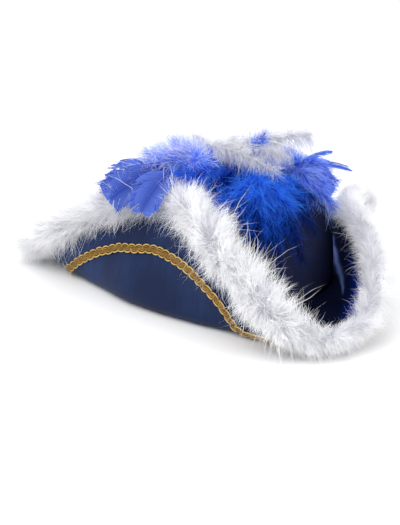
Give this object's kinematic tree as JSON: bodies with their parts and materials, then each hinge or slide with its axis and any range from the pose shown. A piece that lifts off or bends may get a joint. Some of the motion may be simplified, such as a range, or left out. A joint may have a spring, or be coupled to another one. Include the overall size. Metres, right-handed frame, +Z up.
{
  "type": "tricorn hat",
  "caption": "Three-cornered hat with a satin brim turned up on its sides, white down on the brim's edge, gold braid, and blue feathers over the crown.",
  "frame": {"origin": "middle of the footprint, on the surface that the hat stands on", "axes": "-Y to the front corner of the brim, +X to the wearer's left, +Z up through the crown"},
  "size_m": [0.3684, 0.373, 0.141],
  "materials": {
    "brim": "satin",
    "crown": "satin",
    "braid_left": "satin",
    "braid_back": "satin",
    "braid_right": "satin",
    "marabou_left": "matte",
    "marabou_back": "matte",
    "marabou_right": "matte",
    "down_crown": "matte",
    "feathers_right": "satin",
    "down_right": "matte",
    "plume_front": "matte",
    "feathers_left": "satin",
    "feather_white": "matte"
  },
  "bodies": {
    "root": {"brim": "brim", "crown": "crown", "braid_left": "braid_left", "braid_back": "braid_back", "braid_right": "braid_right", "marabou_left": "marabou_left", "marabou_back": "marabou_back", "marabou_right": "marabou_right", "down_crown": "down_crown", "feathers_right": "feathers_right", "down_right": "down_right", "plume_front": "plume_front", "feathers_left": "feathers_left", "feather_white": "feather_white"}
  },
  "joints": []
}
